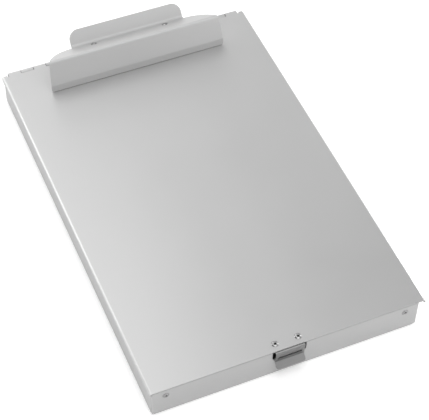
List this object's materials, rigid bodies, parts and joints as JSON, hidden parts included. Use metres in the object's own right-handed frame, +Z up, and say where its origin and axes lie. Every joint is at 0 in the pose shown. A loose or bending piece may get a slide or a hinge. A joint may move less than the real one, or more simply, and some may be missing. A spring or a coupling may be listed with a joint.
{
  "type": "storage clipboard box",
  "caption": "Shallow folded aluminium tray under a hinged writing lid, with a sprung sheet clip at the rear and a slotted spring latch at the front.",
  "frame": {"origin": "Middle of the tray's flat bottom face, which rests on the table.", "axes": "+X to the user's right, +Y to the hinge and the clip, +Z up out of the writing lid."},
  "size_m": [0.236, 0.3716, 0.062],
  "materials": {
    "satin_aluminium": "satin anodised sheet",
    "clip_aluminium": "satin anodised sheet",
    "rivet_aluminium": "tumbled aluminium",
    "stem_steel": "zinc-plated steel, broken end",
    "pin_steel": "drawn steel wire",
    "spring_steel_sheet": "rolled spring sheet, satin",
    "clip_steel": "zinc-plated pressed sheet",
    "spring_wire": "drawn spring wire"
  },
  "bodies": {
    "tray": {"tray_shell": "satin_aluminium", "front_corner_rivets": "rivet_aluminium", "front_rivet_stems": "stem_steel", "rear_corner_rivets": "rivet_aluminium", "rear_rivet_stems": "stem_steel", "hinge_pin": "pin_steel"},
    "lid": {"lid_shell": "satin_aluminium", "latch_leaf": "spring_steel_sheet", "latch_rivets": "rivet_aluminium", "latch_rivet_stems": "stem_steel", "clip_base": "clip_steel", "base_rivets": "rivet_aluminium", "base_rivet_stems": "stem_steel", "pivot_rod": "pin_steel", "rod_rings": "pin_steel", "clip_spring_left": "spring_wire", "clip_spring_right": "spring_wire"},
    "latch": {"latch_catch": "spring_steel_sheet"},
    "clip": {"clip_plate": "clip_aluminium", "clip_bracket": "clip_steel", "clip_rivets": "rivet_aluminium", "clip_rivet_stems": "stem_steel"}
  },
  "joints": [
    {"name": "lid_hinge", "type": "hinge", "parent": "tray", "child": "lid", "pos_m": [0, 0.18265, 0.02745], "axis": [-1, 0, 0], "range_deg": [0, 135]},
    {"name": "clip_hinge", "type": "hinge", "parent": "lid", "child": "clip", "pos_m": [0.0023, 0.1665, 0.041], "axis": [-1, 0, 0], "range_deg": [0, 28], "stiffness_Nm_per_rad": 0.12, "springref_deg": -68.75, "deforming": ["clip_spring_left", "clip_spring_right"]},
    {"name": "latch_flex", "type": "hinge", "parent": "lid", "child": "latch", "pos_m": [0.001, -0.183, 0.02725], "axis": [-1, 0, 0], "range_deg": [0, 12], "stiffness_Nm_per_rad": 0.002, "springref_deg": -11.46}
  ]
}
